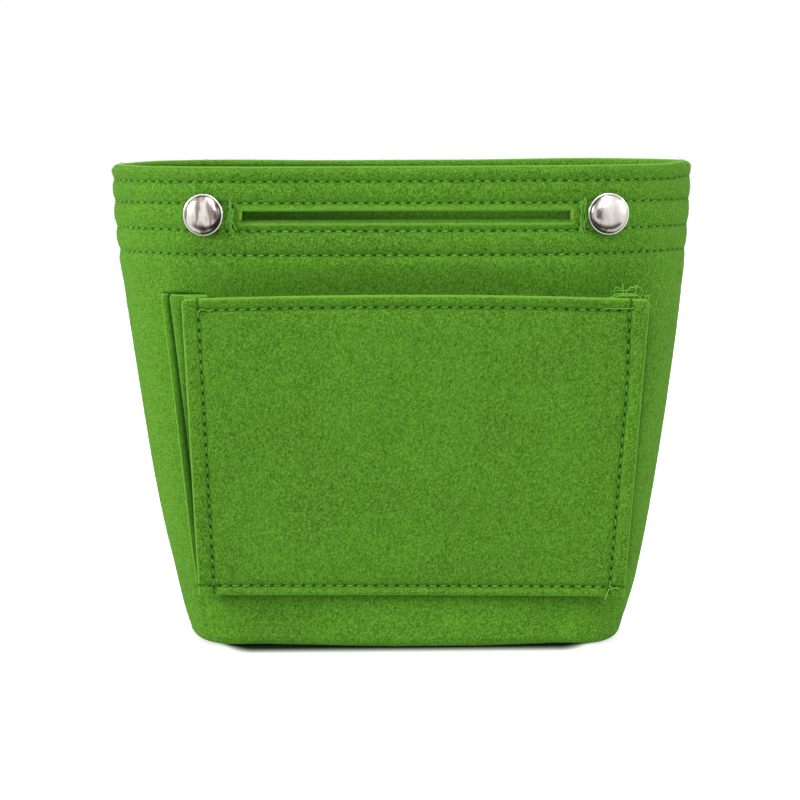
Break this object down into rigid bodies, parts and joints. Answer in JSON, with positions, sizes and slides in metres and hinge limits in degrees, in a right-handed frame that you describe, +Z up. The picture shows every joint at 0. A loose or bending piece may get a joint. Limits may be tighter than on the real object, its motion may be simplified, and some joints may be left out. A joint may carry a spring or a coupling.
{
  "type": "purse organizer insert",
  "caption": "Open-topped oval felt insert for a handbag, with a stitched top band, a slit, snaps and a bellows front pocket.",
  "frame": {"origin": "centre of the flat underside of the base", "axes": "+Z up; the pocket and the slit face -Y; +X is to the right of someone looking at the pocket"},
  "size_m": [0.213, 0.0972, 0.172],
  "materials": {
    "felt_green": "needled polyester felt, matt",
    "thread_green": "polyester sewing thread, slight sheen",
    "snap_metal": "bright nickel plate"
  },
  "bodies": {
    "shell": {"front_wall": "felt_green", "back_wall": "felt_green", "front_facing": "felt_green", "back_facing": "felt_green", "base_panel": "felt_green", "gusset_left": "felt_green", "gusset_right": "felt_green", "band_stitching_1": "thread_green", "band_stitching_2": "thread_green", "band_stitching_3": "thread_green", "band_stitching_4": "thread_green", "slit_tack_left": "thread_green", "slit_tack_right": "thread_green", "gusset_stitching_left": "thread_green", "gusset_stitching_right": "thread_green", "snap_cap_front_left": "snap_metal", "snap_cap_front_right": "snap_metal", "snap_cap_back_left": "snap_metal", "snap_cap_back_right": "snap_metal", "snap_socket_left": "snap_metal", "snap_socket_right": "snap_metal", "snap_stud_left": "snap_metal", "snap_stud_right": "snap_metal"},
    "pocket": {"pocket_panel": "felt_green", "pocket_hem_stitching": "thread_green", "pocket_bottom_stitching": "thread_green", "pocket_side_stitching_left": "thread_green", "pocket_side_stitching_right": "thread_green"}
  },
  "joints": [
    {"name": "pocket_open", "type": "hinge", "parent": "shell", "child": "pocket", "pos_m": [0, -0.04197, 0.0193], "axis": [1, 0, 0], "range_deg": [-3, 8], "stiffness_Nm_per_rad": 0.08, "deforming": ["gusset_left", "gusset_right"]}
  ]
}
